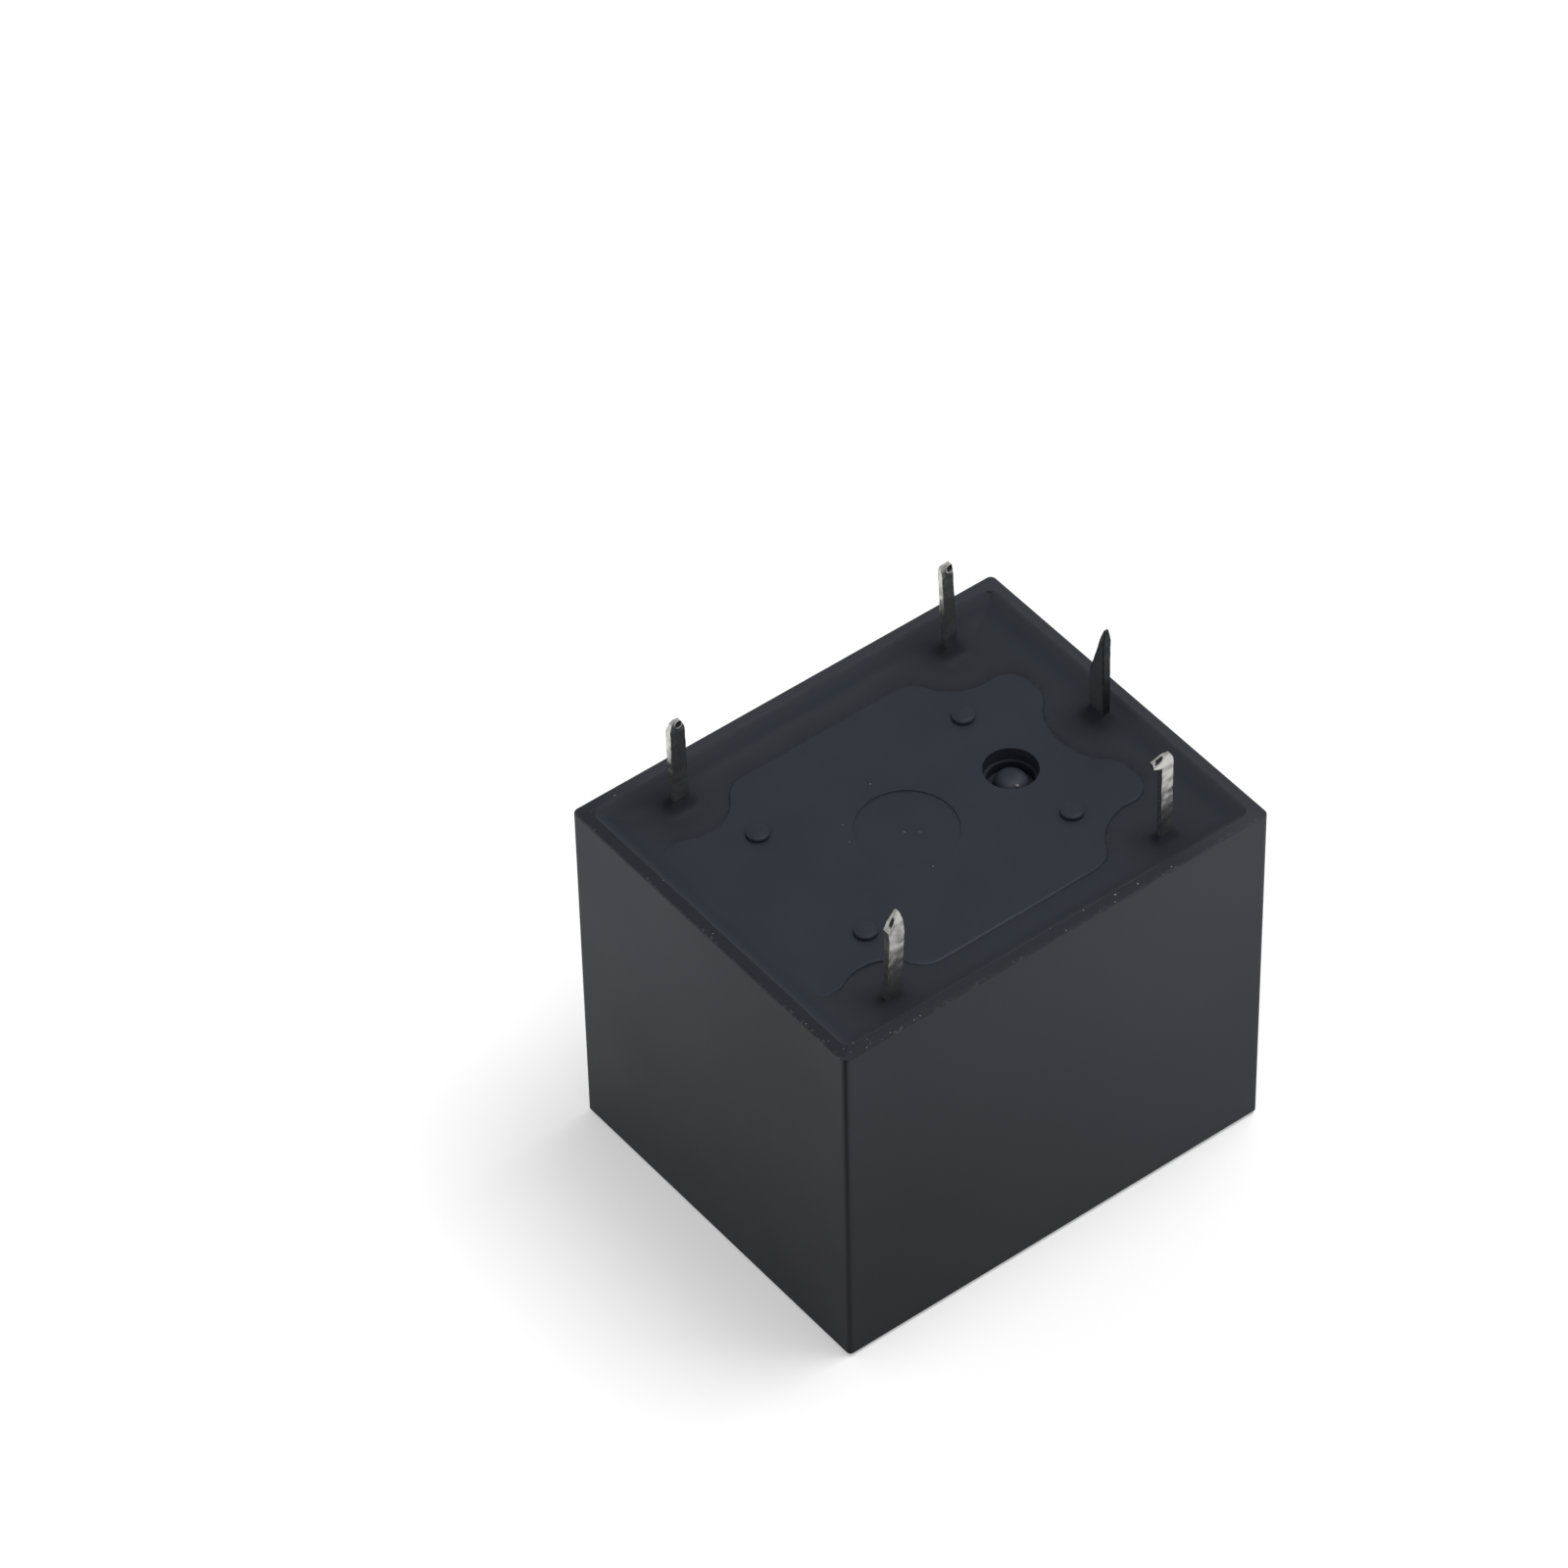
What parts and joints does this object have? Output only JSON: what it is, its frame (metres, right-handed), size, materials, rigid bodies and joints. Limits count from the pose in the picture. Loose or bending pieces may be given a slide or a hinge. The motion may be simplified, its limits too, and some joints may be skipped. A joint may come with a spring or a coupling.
{
  "type": "pcb power relay",
  "caption": "Sealed box-shaped power relay for a circuit board, with a moulded cover, a resin-sealed base, flat solder pins, and a hinged armature that switches a changeover contact.",
  "frame": {"origin": "centre of the cover's closed face, which the relay stands on with its pins up", "axes": "+Z from the closed face to the pins, +X to the end with the common pin, +Y across the width"},
  "size_m": [0.019, 0.0154, 0.0196],
  "materials": {
    "cover_plastic": "satin moulded thermoplastic, near black",
    "base_plastic": "satin moulded thermoplastic, bluish charcoal",
    "sealing_resin": "cured potting resin, softly glossy charcoal",
    "tinned_metal": "tin plate over copper alloy, bright with dull patches",
    "contact_silver": "silver alloy rivet, satin",
    "spring_bronze": "rolled spring strip, satin",
    "plated_iron": "nickel plated soft iron, satin",
    "bobbin_plastic": "natural moulded thermoplastic",
    "enamelled_copper": "enamelled copper wire, glossy",
    "solder": "solidified solder, satin"
  },
  "bodies": {
    "relay_body": {"cover": "cover_plastic", "base": "base_plastic", "sealing_resin": "sealing_resin", "nc_terminal": "tinned_metal", "no_terminal": "tinned_metal", "common_terminal": "tinned_metal", "coil_terminal_a": "tinned_metal", "coil_terminal_b": "tinned_metal", "nc_contact": "contact_silver", "no_contact": "contact_silver", "yoke": "plated_iron", "iron_core": "plated_iron", "bobbin": "bobbin_plastic", "coil_winding": "enamelled_copper", "coil_lead_start": "enamelled_copper", "coil_lead_finish": "enamelled_copper", "solder_start": "solder", "solder_finish": "solder"},
    "armature_assembly": {"armature": "plated_iron", "contact_spring": "spring_bronze", "moving_contact": "contact_silver"}
  },
  "joints": [
    {"name": "armature_swing", "type": "hinge", "parent": "relay_body", "child": "armature_assembly", "pos_m": [0.00783, 0, 0.00392], "axis": [0, 1, 0], "range_deg": [0, 2], "stiffness_Nm_per_rad": 0.015, "springref_deg": -6.88, "deforming": ["contact_spring"]}
  ]
}
